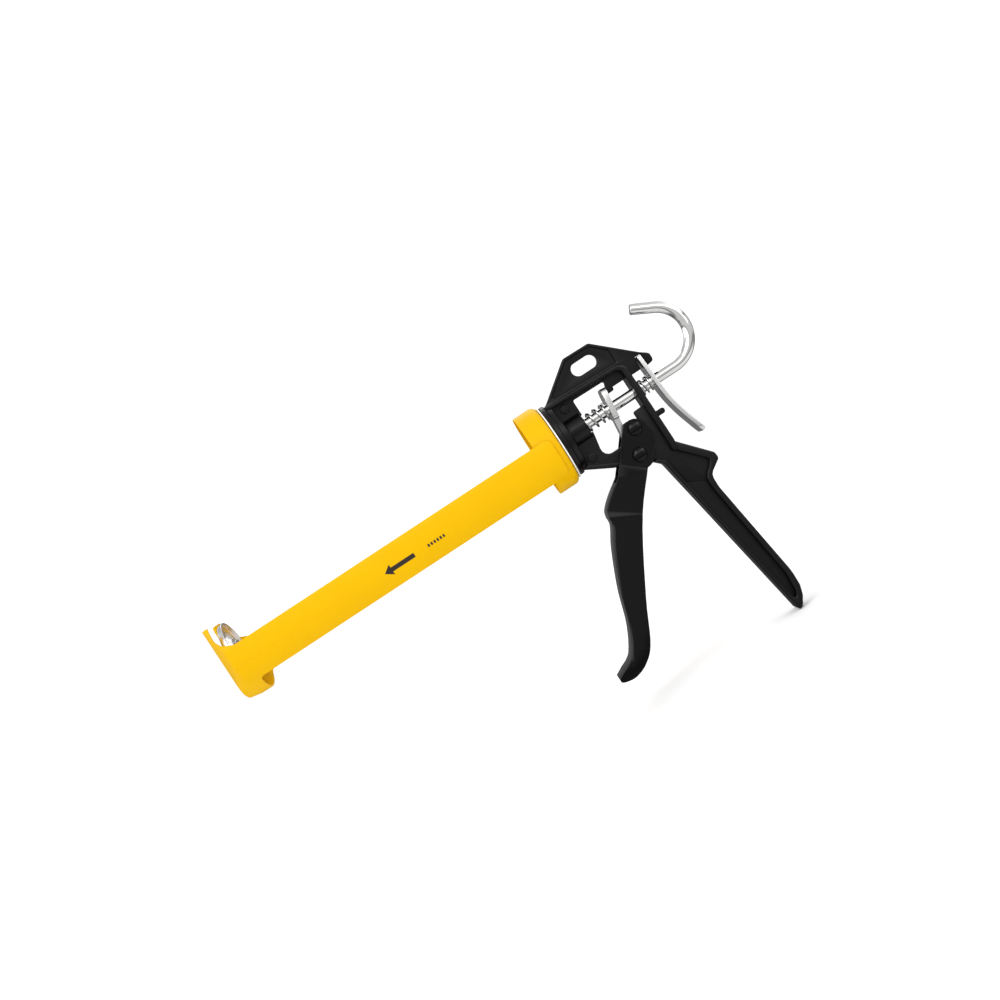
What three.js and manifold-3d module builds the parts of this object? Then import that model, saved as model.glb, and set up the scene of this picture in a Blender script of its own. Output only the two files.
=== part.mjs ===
// Caulking gun: a turning half-open cradle for a 300 ml cartridge, a die-cast handle with a
// sheet-steel trigger, a smooth push rod with a hooked end, and a thumb lever that frees the rod.
// Millimetres. The parts are drawn in the barrel frame: the push rod runs along X through the
// origin, the nose points to -X, the hook to +X and the grip hangs down -Z. The exported group
// moves that frame so that its origin is the middle of the bottom of the whole gun.

import * as THREE from 'three';
import { mergeVertices } from 'three/addons/utils/BufferGeometryUtils.js';
import Module from 'manifold-3d';

const wasm = await Module();
wasm.setup();

// ---------------------------------------------------------------- driving dimensions

const GAP = 0.3;                       // clearance between neighbouring pieces

const ROD_R = 3.5;                     // push rod
const HOOK_R = 19.5;                   // bend radius of the hook, at the middle of the rod
const HOOK_X = 133;                    // where the straight part ends
const HOOK_SWEEP = THREE.MathUtils.degToRad(152);
const HOOK_TAIL = 15;

const SHEET = 1.2;                     // cradle steel
const RING_R = 26.8;                   // rear ring, outside
const RING_FRONT = 32.8;
const RING_BACK = 47.6;
const CRADLE_R = RING_R + 0.4 + SHEET; // rails and nose cap, outside
const NOSE_X = -191.4;                 // outer face of the nose plate
const NOSE_HALF = 15.5;                // half width of the nose plate
const NOSE_DRAWN = 7.6;                // how far behind the plate the shell has its full width
const RAIL_TOP = 4.9;
const RAIL_BOTTOM = -19.5;
const RAIL_END = 43.4;
const NOZZLE_SLOT_R = 11;
const HORN_TOP = 21.8;

const WASHER_T = 0.9;                  // nylon washer between ring and handle
const FLANGE_X = RING_BACK + WASHER_T + 2 * GAP;
const FLANGE_R = 23.8;
const SPIGOT_R = 15;
const BOSS_R = 9.2;
const BOSS_END = 68.4;
const SPRING_POCKET_R = 6.9;
const SPRING_POCKET_X = 60;

const WEB = 3.4;                       // half thickness of the casting's plain web
const GRIP_WEB = 2.6;                  // half thickness of the grip's web
const RIM = 5;                         // half width of the rim round the hanging plate
const FLOOR = 10;                      // half width of the full-width walls
const GRIP_HALF = 8.5;                 // half width of the grip's edges
const WALL_FRONT = 103.2;              // back wall that guides the rod
const WALL_BACK = 107.2;

const PIVOT = { x: 85, z: -32.8 };     // trigger pivot
const PIN = { x: 91, z: -18 };         // drive rivet, on the trigger
const ROLLER_R = 4.3;
const TRIGGER_SHEET = 1.6;
const TRIGGER_HALF = 9.6;              // half width at the rivets, outside
const TRIGGER_LEAN = 33;               // degrees between the lever's length and the upright
const BOSS_HALF = TRIGGER_HALF - TRIGGER_SHEET - GAP;
const PIVOT_SHANK_R = 3;
const PIN_SHANK_R = 2.6;
const RIVET_HEAD_R = 4.55;
const RIVET_HEAD_H = 2.7;

const DRIVE_PLATE_T = 3.5;
const DRIVE_PLATE_X = 86.4;            // its middle where the rod goes through
const DRIVE_PLATE_LEAN = THREE.MathUtils.degToRad(6.8);

const LEVER_T = 2.6;
const LEVER_HALF = 9.6;

const PISTON_R = 20.5;
const PISTON_BACK = -181.5;
const STUD_R = 2.5;

const BOTTOM_Z = -163.1;               // lowest point of the grip, in the barrel frame
const MIDDLE_X = -17.71;               // middle of the whole length, in the barrel frame

// ---------------------------------------------------------------- materials

const paint = new THREE.MeshStandardMaterial({ color: 0xf5b90a, roughness: 0.32, metalness: 0.0 });
const blackCasting = new THREE.MeshStandardMaterial({ color: 0x161517, roughness: 0.45, metalness: 0.0 });
const blackEnamel = new THREE.MeshStandardMaterial({ color: 0x121213, roughness: 0.28, metalness: 0.0 });
const chrome = new THREE.MeshStandardMaterial({ color: 0xd9dadb, roughness: 0.14, metalness: 1.0 });
const zinc = new THREE.MeshStandardMaterial({ color: 0xc3c6ca, roughness: 0.32, metalness: 1.0 });
const springSteel = new THREE.MeshStandardMaterial({ color: 0xb4b6b9, roughness: 0.25, metalness: 1.0 });
const nylon = new THREE.MeshStandardMaterial({ color: 0xeceae4, roughness: 0.5, metalness: 0.0 });

// ---------------------------------------------------------------- solids from geometry

/** A closed geometry as a Manifold, with shared vertices merged and faces pointing out. */
function solidOf(geometry) {
  const bare = geometry.clone();
  bare.deleteAttribute('normal');
  bare.deleteAttribute('uv');
  const welded = mergeVertices(bare, 1e-4);
  const place = welded.getAttribute('position').array;
  const corners = welded.getIndex().array;
  const faces = [];
  let volume = 0;
  for (let i = 0; i < corners.length; i += 3) {
    const [a, b, c] = [corners[i], corners[i + 1], corners[i + 2]];
    if (a === b || b === c || c === a) continue;
    faces.push([a, b, c]);
    const [p, q, r] = [a, b, c].map((v) => new THREE.Vector3().fromArray(place, 3 * v));
    volume += p.dot(q.cross(r));
  }
  const ordered = volume < 0 ? faces.map(([a, b, c]) => [a, c, b]) : faces;
  return new wasm.Manifold(new wasm.Mesh({
    numProp: 3,
    vertProperties: new Float32Array(place),
    triVerts: new Uint32Array(ordered.flat()),
  }));
}

/** A Manifold as a geometry for a mesh. */
function geometryOf(solid) {
  const { vertProperties, triVerts } = solid.getMesh();
  const geometry = new THREE.BufferGeometry();
  geometry.setAttribute('position', new THREE.BufferAttribute(new Float32Array(vertProperties), 3));
  geometry.setIndex(new THREE.BufferAttribute(new Uint32Array(triVerts), 1));
  geometry.computeVertexNormals();
  return geometry;
}

const joined = (...solids) => solids.reduce((whole, next) => whole.add(next));
const cut = (solid, ...tools) => tools.reduce((rest, tool) => rest.subtract(tool), solid);

/** A closed outline through [x, y, radius] corners; a radius rounds its corner with an arc. */
function outline(corners, perQuarter = 4) {
  const points = [];
  corners.forEach(([x, y, radius = 0], i) => {
    const here = new THREE.Vector2(x, y);
    if (radius === 0) {
      points.push(here);
      return;
    }
    const before = new THREE.Vector2(...corners.at(i - 1)).sub(here).normalize();
    const after = new THREE.Vector2(...corners[(i + 1) % corners.length]).sub(here).normalize();
    const half = Math.acos(before.dot(after)) / 2;
    const middle = before.clone().add(after).normalize().multiplyScalar(radius / Math.sin(half)).add(here);
    const start = here.clone().addScaledVector(before, radius / Math.tan(half)).sub(middle);
    const turn = (Math.PI - 2 * half) * -Math.sign(before.cross(after));
    const steps = Math.max(Math.round((perQuarter * Math.abs(turn)) / (Math.PI / 2)), 1);
    for (let k = 0; k <= steps; k += 1) {
      points.push(start.clone().rotateAround(new THREE.Vector2(), (turn * k) / steps).add(middle));
    }
  });
  return new THREE.Shape(points);
}

/** An outline extruded to a depth, with the repeated points of its curves left out. */
function extruded(shape, depth, curveSegments) {
  const points = shape.getPoints(curveSegments);
  const apart = points.filter((p, i) => p.distanceTo(points[(i + 1) % points.length]) > 1e-3);
  return new THREE.ExtrudeGeometry(new THREE.Shape(apart), { depth, bevelEnabled: false });
}

/** An (x, z) outline extruded along Y between two places. */
function slab(shape, low, high, curveSegments = 8) {
  const geometry = extruded(shape, high - low, curveSegments);
  geometry.translate(0, 0, -high);
  return solidOf(geometry.rotateX(Math.PI / 2));
}

/** An (x, z) outline extruded to the same distance on both sides of the middle plane. */
const evenSlab = (shape, half, curveSegments) => slab(shape, -half, half, curveSegments);

const TO_X = new THREE.Matrix4().makeBasis(
  new THREE.Vector3(0, 1, 0), new THREE.Vector3(0, 0, 1), new THREE.Vector3(1, 0, 0));

/** A (y, z) outline extruded along X between two places. */
function bar(shape, low, high, curveSegments = 8) {
  const geometry = extruded(shape, high - low, curveSegments);
  geometry.translate(0, 0, low);
  return solidOf(geometry.applyMatrix4(TO_X));
}

/** A profile of [along, radius] points turned round the X axis; it closes on itself or the axis. */
function turned(profile, sides = 36) {
  const points = profile.map(([along, radius]) => new THREE.Vector2(radius, along));
  if (profile[0][1] > 0) points.push(points[0].clone());
  return solidOf(new THREE.LatheGeometry(points, sides).rotateZ(-Math.PI / 2));
}

/** A round bar along X. */
const rodX = (radius, low, high, sides = 20) =>
  turned([[low, 0], [low, radius], [high, radius], [high, 0]], sides);

/** A round bar along Y at a place in the (x, z) plane. */
function rodY(place, radius, low, high, sides = 16) {
  const geometry = new THREE.CylinderGeometry(radius, radius, high - low, sides);
  return solidOf(geometry.translate(place.x, (low + high) / 2, place.z));
}

/** A named mesh of a solid. */
function piece(name, solid, material) {
  const mesh = new THREE.Mesh(geometryOf(solid), material);
  mesh.name = name;
  return mesh;
}

// ---------------------------------------------------------------- cradle

/** The rear ring: a shallow cup whose back wall turns on the handle's spigot. */
function rearRing() {
  const corner = 3.6;
  const wall = 1.4;
  const profile = [[RING_FRONT, RING_R]];
  for (let i = 0; i <= 4; i += 1) {
    const a = (i / 4) * Math.PI / 2;
    profile.push([RING_BACK - corner + corner * Math.sin(a), RING_R - corner + corner * Math.cos(a)]);
  }
  profile.push([RING_BACK, SPIGOT_R + GAP], [RING_BACK - wall, SPIGOT_R + GAP]);
  const inner = corner - wall;
  for (let i = 2; i >= 0; i -= 1) {
    const a = (i / 2) * Math.PI / 2;
    profile.push([RING_BACK - corner + inner * Math.sin(a), RING_R - corner + inner * Math.cos(a)]);
  }
  profile.push([RING_FRONT, RING_R - wall]);
  return turned(profile, 60);
}

/** A convex body round the barrel: full width behind, and drawn in to the narrow nose plate. */
function cradleBody(radius, front, half, fullFrom) {
  const plate = (x, width, depth) => bar(outline([
    [-width, radius], [width, radius], [width, 8 - depth, 9], [-width, 8 - depth, 9],
  ]), x, x + 0.01).intersect(rodX(radius, x - 1, x + 1, 72));
  return wasm.Manifold.hull([
    plate(front, half - 0.8, radius + 5.2),
    plate(front + 1, half, radius + 6.4),
    rodX(radius, fullFrom, RAIL_END + 1, 72),
  ]);
}

/** The drawn shell that the nose cap and both rails are cut from. */
function cradleShell() {
  const outer = cradleBody(CRADLE_R, NOSE_X, NOSE_HALF, NOSE_X + NOSE_DRAWN);
  const inner = cradleBody(CRADLE_R - SHEET, NOSE_X + SHEET, NOSE_HALF - SHEET / 2, NOSE_X + NOSE_DRAWN + SHEET / 2);
  return cut(outer, inner).intersect(rodX(CRADLE_R + 1, NOSE_X - 1, RAIL_END, 72));
}

/** What the side view keeps of the shell: horns, cap, and the rail between two straight edges. */
function cradleSide() {
  const beyond = CRADLE_R + 1;
  return outline([
    [NOSE_X - 1, beyond],
    [NOSE_X + 4.2, beyond],
    [NOSE_X + 4.4, RAIL_TOP + 7.6, 3],
    [NOSE_X + 8, RAIL_TOP + 3.1, 4],
    [NOSE_X + 15, RAIL_TOP, 5],
    [RAIL_END, RAIL_TOP, 4],
    [RAIL_END, RAIL_BOTTOM, 4],
    [NOSE_X + 15.6, RAIL_BOTTOM, 2.5],
    [NOSE_X + 14.6, -beyond],
    [NOSE_X - 1, -beyond],
  ]);
}

/** The nozzle slot with the round tips of the horns, seen from the front. */
function nozzleSlot() {
  const beyond = CRADLE_R + 2;
  const shape = new THREE.Shape();
  const tip = 4;
  shape.moveTo(-beyond, beyond);
  shape.lineTo(-beyond, HORN_TOP);
  shape.lineTo(-NOZZLE_SLOT_R - tip, HORN_TOP);
  shape.absarc(-NOZZLE_SLOT_R - tip, HORN_TOP - tip, tip, Math.PI / 2, 0, true);
  shape.lineTo(-NOZZLE_SLOT_R, 0);
  shape.absarc(0, 0, NOZZLE_SLOT_R, Math.PI, 2 * Math.PI, false);
  shape.lineTo(NOZZLE_SLOT_R, HORN_TOP - tip);
  shape.absarc(NOZZLE_SLOT_R + tip, HORN_TOP - tip, tip, Math.PI, Math.PI / 2, true);
  shape.lineTo(beyond, HORN_TOP);
  shape.lineTo(beyond, beyond);
  return shape;
}

/** Both rails and the nose cap, one pressing; its rails are lapped on the outside of the ring. */
function cradleFrame() {
  return cut(
    cradleShell().intersect(evenSlab(cradleSide(), CRADLE_R + 2)),
    bar(nozzleSlot(), NOSE_X - 2, NOSE_X + 12, 10));
}

// ---------------------------------------------------------------- handle casting

const HANGING_PLATE = [
  [50, 21], [54.6, 23], [78, 40.6, 2.5], [96, 40.2, 2.5], [119, 18.8, 1], [123.8, 15.2, 2.2],
  [123.8, 10, 2.2], [119.5, 9.6], [119.2, 17.9, 1.2], [114.9, 17.9, 1.2], [114.4, 9.8], [104, 9.8],
  [104, 18.5], [50, 20.5],
];
const HANGING_POCKET = [[58.2, 23.4, 1], [78.6, 38.8, 2], [95.3, 38.4, 2], [104, 30.3, 0.8], [104, 21.2, 0.8]];
const LOWER_WEB = [
  [50, 21], [104, 19], [104.5, -41], [121, -55.5], [114.2, -70], [99.5, -62], [96.2, -47.5],
  [91, -41.4, 4], [86, -39], [68.2, -30.6], [53, -22],
];
const WINDOW = [
  [69.6, 16.4, 1.5], [92, 16, 1], [90.4, 11.5, 1.5], [90.4, 8.1], [94, 8.1, 0.8], [94.4, 10.2],
  [WALL_FRONT, 10.2], [WALL_FRONT, -9.2], [96.6, -9.4, 1.5], [96.6, -23, 3], [78, -23, 1],
  [66.6, -23, 5], [69.6, -7, 3],
];
const BRIDGE_EDGE = [[52, -22.2], [68.2, -31.2], [84, -38.8], [85, -36.6], [69.2, -28.4], [52, -19.6]];
const REAR_ANGLE = [
  [51, 22], [WALL_BACK, 19.9, 7], [WALL_BACK, -36.5], [WALL_BACK - 1, -42], [WALL_FRONT, -42],
  [WALL_FRONT, 17.2, 4], [51, 19.3],
];
const GRIP_NECK = [[92.2, -40.3], [97.7, -46.2], [102.8, -39.6], [105, -33.4], [88, -33.4], [89.4, -39.2]];
const PEG = [[WALL_BACK - 1, -16.5], [113.2, -16.5, 1.6], [113.2, -20.1, 1.6], [WALL_BACK - 1, -20.1]];

/** The grip's side outline: a horn over the thumb, a saddle and a long tapering handle. */
function gripOutline() {
  return outline([
    [104.5, -34.8, 2], [123.4, -56.2, 2.6], [123.8, -60.5, 2.4], [114.6, -66.5, 5], [114.3, -75, 12],
    [123, -141, 24], [122.6, -154, 12], [116.6, -163.4, 2], [114.4, -162.9, 0.9],
    [96.4, -56, 12], [94.6, -45.5, 3], [90.5, -41.5],
  ]);
}

/** The pocket on each side of the grip, inside its edges. */
function gripPocket() {
  return outline([
    [101.2, -38.4], [119, -57.8, 2], [116.2, -61.6, 3], [110.6, -66.2, 6], [111, -76, 12],
    [119.4, -141, 20], [118.4, -153.5, 5], [115.6, -157.4, 1.2], [98.4, -57, 12], [96.6, -44.6, 3],
  ]);
}

/** The round marks that the mould's ejector pins leave, a little proud of the web on both sides. */
function ejectorMarks() {
  const proud = 0.25;
  const onWeb = [{ x: 62.8, z: 14.6 }, { x: 60.5, z: -19 }].map((place) =>
    rodY(place, 3.2, -WEB - proud, WEB + proud, 24));
  const inGrip = rodY({ x: 114.6, z: -135.6 }, 2.4, -GRIP_WEB - proud, GRIP_WEB + proud, 24);
  return joined(...onWeb, inGrip);
}

/** The slot that the gun hangs by. */
function hangingSlot() {
  const shape = new THREE.Shape();
  const middle = { x: 87, z: 30.6 };
  const half = 4.2;
  const radius = 4.4;
  shape.moveTo(middle.x - half, middle.z + radius);
  shape.absarc(middle.x - half, middle.z, radius, Math.PI / 2, 1.5 * Math.PI, false);
  shape.absarc(middle.x + half, middle.z, radius, -Math.PI / 2, Math.PI / 2, false);
  return shape;
}

/** The casting's front: spigot, flange in two steps, and the boss that holds the drive spring. */
function castingFront() {
  return turned([
    [45.6, 0], [45.6, SPIGOT_R - 0.6], [46.2, SPIGOT_R], [FLANGE_X, SPIGOT_R], [FLANGE_X, FLANGE_R - 0.6],
    [FLANGE_X + 0.6, FLANGE_R], [51.8, FLANGE_R], [52.4, FLANGE_R - 0.6], [52.6, 22.4], [55.4, 22],
    [56, 21.2], [56.4, BOSS_R + 1.2], [57.6, BOSS_R], [BOSS_END - 0.6, BOSS_R], [BOSS_END, BOSS_R - 0.6],
    [BOSS_END, 0],
  ], 44);
}

/** The whole handle: one die casting. */
function handleCasting() {
  const upper = cut(evenSlab(outline(HANGING_PLATE), RIM),
    slab(outline(HANGING_POCKET), WEB, RIM + 1), slab(outline(HANGING_POCKET), -RIM - 1, -WEB));
  const grip = cut(evenSlab(gripOutline(), GRIP_HALF),
    slab(gripPocket(), GRIP_WEB, FLOOR), slab(gripPocket(), -FLOOR, -GRIP_WEB),
    slab(outline(GRIP_NECK), WEB, FLOOR), slab(outline(GRIP_NECK), -FLOOR, -WEB));
  const web = cut(evenSlab(outline(LOWER_WEB), WEB), evenSlab(outline(WINDOW), RIM));
  const body = joined(
    upper, web, grip, castingFront(),
    evenSlab(outline(BRIDGE_EDGE), RIM),
    evenSlab(outline(REAR_ANGLE), FLOOR),
    evenSlab(outline(PEG), 3.6),
    ejectorMarks(),
    rodY(PIVOT, 9.4, -BOSS_HALF, BOSS_HALF, 28));
  return cut(body,
    evenSlab(hangingSlot(), FLOOR, 12),
    rodX(ROD_R + 0.4, 40, 115),
    rodX(SPRING_POCKET_R, SPRING_POCKET_X, BOSS_END + 3),
    rodY(PIVOT, PIVOT_SHANK_R + GAP, -FLOOR, FLOOR),
    ...retainerScrewPlaces().map(({ y, z }) => rodX(1.8, 44, 51.5, 10).translate(0, y, z)));
}

// ---------------------------------------------------------------- swivel: washer, plate and screws

const RETAINER_FRONT = 44;
const RETAINER_T = 1.3;
const RETAINER_R = 19;
const SCREW_CIRCLE_R = 10.5;

/** The three places of the retainer screws round the rod. */
function retainerScrewPlaces() {
  return [90, 210, 330].map((degrees) => {
    const angle = THREE.MathUtils.degToRad(degrees);
    return { y: SCREW_CIRCLE_R * Math.cos(angle), z: SCREW_CIRCLE_R * Math.sin(angle) };
  });
}

/** The nylon washer that the ring turns against. */
function frictionWasher() {
  const low = RING_BACK + GAP;
  const bore = SPIGOT_R + GAP;
  return turned([[low, bore], [low, 24.6], [low + WASHER_T, 24.6], [low + WASHER_T, bore]], 40);
}

/** The plate inside the ring that holds the cradle on the spigot. */
function retainerPlate() {
  const back = RETAINER_FRONT + RETAINER_T;
  const bore = ROD_R + 1;
  const plate = turned([
    [RETAINER_FRONT, bore], [RETAINER_FRONT, RETAINER_R - 0.4], [RETAINER_FRONT + 0.4, RETAINER_R],
    [back, RETAINER_R], [back, bore],
  ], 36);
  return cut(plate, ...retainerScrewPlaces().map(({ y, z }) => rodX(1.8, 43, 46, 10).translate(0, y, z)));
}

/** A pan-head screw with a cross recess, head towards the nose. */
function retainerScrew() {
  const head = RETAINER_FRONT - GAP;
  const body = turned([
    [head - 1.9, 0], [head - 1.9, 1.6], [head - 1.5, 2.4], [head - 0.8, 2.8], [head, 2.8],
    [head, 1.5], [50.4, 1.5], [51, 0.9], [51, 0],
  ], 14);
  const blade = (angle) => bar(outline([[-1.7, -0.3], [1.7, -0.3], [1.7, 0.3], [-1.7, 0.3]]),
    head - 2.2, head - 1).rotate([angle, 0, 0]);
  return cut(body, blade(45), blade(135));
}

// ---------------------------------------------------------------- push rod and piston

/** The rod's middle line: straight, then the hook's arc, then a short straight tail. */
class HookLine extends THREE.Curve {
  constructor(start) {
    super();
    this.start = start;
    this.straight = HOOK_X - start;
    this.arc = HOOK_R * HOOK_SWEEP;
    this.whole = this.straight + this.arc + HOOK_TAIL;
  }

  getPoint(t, target = new THREE.Vector3()) {
    const along = t * this.whole;
    if (along <= this.straight) return target.set(this.start + along, 0, 0);
    const turn = Math.min((along - this.straight) / HOOK_R, HOOK_SWEEP);
    const tail = Math.max(along - this.straight - this.arc, 0);
    return target.set(
      HOOK_X + HOOK_R * Math.sin(turn) + tail * Math.cos(turn),
      0,
      HOOK_R * (1 - Math.cos(turn)) + tail * Math.sin(turn));
  }
}

/** A round section for bars that follow a curve. */
function roundSection(radius, sides) {
  const shape = new THREE.Shape();
  for (let i = 0; i < sides; i += 1) {
    const a = (i / sides) * 2 * Math.PI;
    if (i === 0) shape.moveTo(radius, 0); else shape.lineTo(radius * Math.cos(a), radius * Math.sin(a));
  }
  return shape;
}

/** The chromed rod: a stud for the piston at the nose end and the hook at the other. */
function pushRod() {
  const bendStart = HOOK_X - 2;
  const hook = solidOf(new THREE.ExtrudeGeometry(roundSection(ROD_R, 16), {
    extrudePath: new HookLine(bendStart), steps: 26, bevelEnabled: false,
  }));
  const straight = turned([
    [-188.6, 0], [-188.6, STUD_R - 0.5], [-188.1, STUD_R], [-179.6, STUD_R], [-179.6, ROD_R - 0.5],
    [-179.1, ROD_R], [bendStart + 0.2, ROD_R], [bendStart + 0.2, 0],
  ], 16);
  return joined(straight, hook);
}

/** The pressed piston disc with its turned-back lip. */
function pistonDisc() {
  const bore = STUD_R + GAP;
  return turned([
    [-182.7, bore], [-182.7, 7.9], [-185.3, 11.7], [-185.5, 12.4], [-185.5, PISTON_R - 2.6],
    [-185, PISTON_R - 1.2], [-183.8, PISTON_R - 0.3], [-181.6, PISTON_R], [PISTON_BACK, PISTON_R - 1.2],
    [-183.6, PISTON_R - 1.5], [-184.3, PISTON_R - 2.6], [-184.3, 12.7], [PISTON_BACK, 8.5], [PISTON_BACK, bore],
  ], 40);
}

/** The washer between the rod's shoulder and the disc. */
function pistonBackingWasher() {
  const low = PISTON_BACK + GAP;
  const high = -179.6 - GAP;
  const bore = STUD_R + GAP;
  return turned([[low, bore], [low, 7.5], [high, 7.5], [high, bore]], 28);
}

/** The spring washer under the nut. */
function pistonLockWasher() {
  const bore = STUD_R + GAP;
  return turned([[-184, bore], [-184, 4.4], [-183, 4.4], [-183, bore]], 20);
}

/** The hexagon nut that ends the rod. */
function pistonNut() {
  const across = 8 / Math.sqrt(3);
  const hexagon = outline([0, 60, 120, 180, 240, 300].map((degrees) => {
    const a = THREE.MathUtils.degToRad(degrees);
    return [across * Math.cos(a), across * Math.sin(a)];
  }));
  return cut(bar(hexagon, -187.6, -184.3), rodX(STUD_R + GAP, -189, -183));
}

// ---------------------------------------------------------------- drive plate, brake lever and springs

/** A helical spring round the X axis, with its ends wound flat. */
function coilSpring(low, high, outer, wire, turns) {
  class Helix extends THREE.Curve {
    getPoint(t, target = new THREE.Vector3()) {
      const radius = outer - wire / 2;
      const closed = 0.9 / turns;
      const rise = THREE.MathUtils.clamp((t - closed) / (1 - 2 * closed), 0, 1);
      const flat = Math.min(t / closed, 1) + Math.max((t - 1 + closed) / closed, 0);
      const room = high - low - 3 * wire;
      const along = low + wire / 2 + wire * flat + room * rise;
      const a = t * turns * 2 * Math.PI;
      return target.set(along, radius * Math.cos(a), radius * Math.sin(a));
    }
  }
  return solidOf(new THREE.ExtrudeGeometry(roundSection(wire / 2, 6), {
    extrudePath: new Helix(), steps: Math.round(turns * 12), bevelEnabled: false,
  }));
}

/** The jam plate: it grips the rod when the roller pushes its tongue forward. */
function drivePlate() {
  const face = outline([
    [-10, 12.8, 4], [-10, -7.2, 1.5], [-5.4, -7.2, 0.6], [-5.4, -20.4, 1.2], [5.4, -20.4, 1.2],
    [5.4, -7.2, 0.6], [10, -7.2, 1.5], [10, 12.8, 4],
  ]);
  const plate = cut(bar(face, -DRIVE_PLATE_T / 2, DRIVE_PLATE_T / 2), rodX(ROD_R + 0.6, -5, 5));
  return plate.rotate([0, THREE.MathUtils.radToDeg(DRIVE_PLATE_LEAN), 0]).translate(DRIVE_PLATE_X, 0, 0);
}

/** The brake plate and thumb lever: it hangs in the notch, holds the rod and bends back to the thumb. */
function releaseLever() {
  const middle = [[116.6, 18], [118.2, -17], [125.8, -41.4]];
  const line = new THREE.CurvePath();
  const point = ([x, z]) => new THREE.Vector2(x, z);
  const knee = point(middle[1]);
  const bendIn = knee.clone().lerp(point(middle[0]), 0.28);
  const bendOut = knee.clone().lerp(point(middle[2]), 0.55);
  line.add(new THREE.LineCurve(point(middle[0]), bendIn));
  line.add(new THREE.QuadraticBezierCurve(bendIn, knee, bendOut));
  line.add(new THREE.LineCurve(bendOut, point(middle[2])));
  const along = line.getSpacedPoints(12);
  const offset = (side) => along.map((p, i) => {
    const next = along[Math.min(i + 1, along.length - 1)];
    const last = along[Math.max(i - 1, 0)];
    const way = next.clone().sub(last).normalize();
    return p.clone().add(new THREE.Vector2(-way.y, way.x).multiplyScalar(side * LEVER_T / 2));
  });
  const strip = evenSlab(new THREE.Shape([...offset(1), ...offset(-1).reverse()]), LEVER_HALF);
  const front = outline([
    [-LEVER_HALF, 17.4, 1.5], [-LEVER_HALF, -42.6, 5], [LEVER_HALF, -42.6, 5], [LEVER_HALF, 17.4, 1.5],
  ]);
  return cut(strip.intersect(bar(front, 110, 130)), rodX(ROD_R + 0.7, 112, 122));
}

// ---------------------------------------------------------------- trigger

const TRIGGER_FRONT = [
  [66.6, -37], [57, -43.6], [50.4, -49.6], [48.6, -54], [47.6, -60], [40.6, -72], [30.4, -94.5],
  [23, -116], [14, -131.6], [5.4, -136.6], [0.9, -138.9],
];
const TRIGGER_REAR = [
  [0.9, -140.9], [3.4, -142.2], [10.2, -142.9], [19.2, -139.4], [28.2, -130.4], [41, -106], [63.9, -67.4], [83.5, -43.4],
  [93.4, -34], [97.6, -26.6], [98, -19.8],
];
const asVectors = (points) => points.map(([x, z]) => new THREE.Vector2(x, z));

/** Side outline of the trigger: a round top at the rivets and a curved finger lever. */
function triggerOutline() {
  const dome = { x: 90.3, z: -19.8, r: 7.7 };
  const end = THREE.MathUtils.degToRad(140);
  const shape = new THREE.Shape();
  shape.moveTo(dome.x + dome.r, dome.z);
  shape.absarc(dome.x, dome.z, dome.r, 0, end, false);
  shape.lineTo(...TRIGGER_FRONT[0]);
  shape.splineThru(asVectors(TRIGGER_FRONT.slice(1)));
  shape.lineTo(...TRIGGER_REAR[0]);
  shape.splineThru(asVectors(TRIGGER_REAR.slice(1)));
  return shape;
}

/** The hollow of the channel in side view: all behind the front web, and all above its top. */
function triggerHollow() {
  const shift = TRIGGER_SHEET * 1.15;
  const inner = new THREE.SplineCurve(asVectors(TRIGGER_FRONT)).getPoints(26)
    .map((p) => new THREE.Vector2(p.x + shift, p.y - 0.3));
  const shape = new THREE.Shape();
  shape.moveTo(30, 10);
  shape.lineTo(30, TRIGGER_FRONT[0][1] - 1.2);
  inner.filter((p) => p.y < TRIGGER_FRONT[0][1] - 1.2).forEach((p) => shape.lineTo(p.x, p.y));
  shape.lineTo(20, -160);
  shape.lineTo(130, -160);
  shape.lineTo(130, 10);
  return shape;
}

/** What the trigger's front view keeps: it steps wider below the rivets, and narrows to its tip. */
function triggerWidth(inset) {
  const half = [[60, TRIGGER_HALF], [12.2, TRIGGER_HALF], [5.6, 11.4], [-15.2, 11.6], [-19.6, 12.8], [-98, 12.8],
    [-109, 12], [-130, 9.5]];
  const side = half.map(([up, y]) => [y - inset, up]);
  return bar(outline([...side, ...side.map(([y, up]) => [-y, up]).reverse()]), -20, 140)
    .rotate([0, TRIGGER_LEAN, 0]);
}

/** The stamped trigger: a channel open to the rear, with two ears that take the rivets. */
function trigger() {
  const outer = evenSlab(triggerOutline(), 20, 4).intersect(triggerWidth(0));
  const inner = evenSlab(triggerHollow(), 20).intersect(triggerWidth(TRIGGER_SHEET));
  return cut(outer, inner,
    rodY(PIVOT, PIVOT_SHANK_R + GAP, -FLOOR - 1, FLOOR + 1),
    rodY(PIN, PIN_SHANK_R + GAP, -FLOOR - 1, FLOOR + 1));
}

/** A rivet through both ears, with a domed head on each side. */
function rivet(place, shank) {
  const seat = TRIGGER_HALF + GAP;
  const dome = [0, 0.35, 0.7, 0.9, 1].map((t) => {
    const a = (t * Math.PI) / 2;
    return new THREE.Vector2(RIVET_HEAD_R * Math.cos(a), seat + RIVET_HEAD_H * Math.sin(a));
  });
  dome[dome.length - 1].x = 0;
  const upper = [new THREE.Vector2(shank, seat), ...dome];
  const lower = upper.map((p) => new THREE.Vector2(p.x, -p.y)).reverse();
  return solidOf(new THREE.LatheGeometry([...lower, ...upper], 18).translate(place.x, 0, place.z));
}

/** The roller on the drive rivet that pushes the drive plate. */
function driveRoller() {
  const tube = rodY(PIN, ROLLER_R, -BOSS_HALF + GAP, BOSS_HALF - GAP, 24);
  return cut(tube, rodY(PIN, PIN_SHANK_R + GAP, -FLOOR, FLOOR));
}

// ---------------------------------------------------------------- assembly

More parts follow.
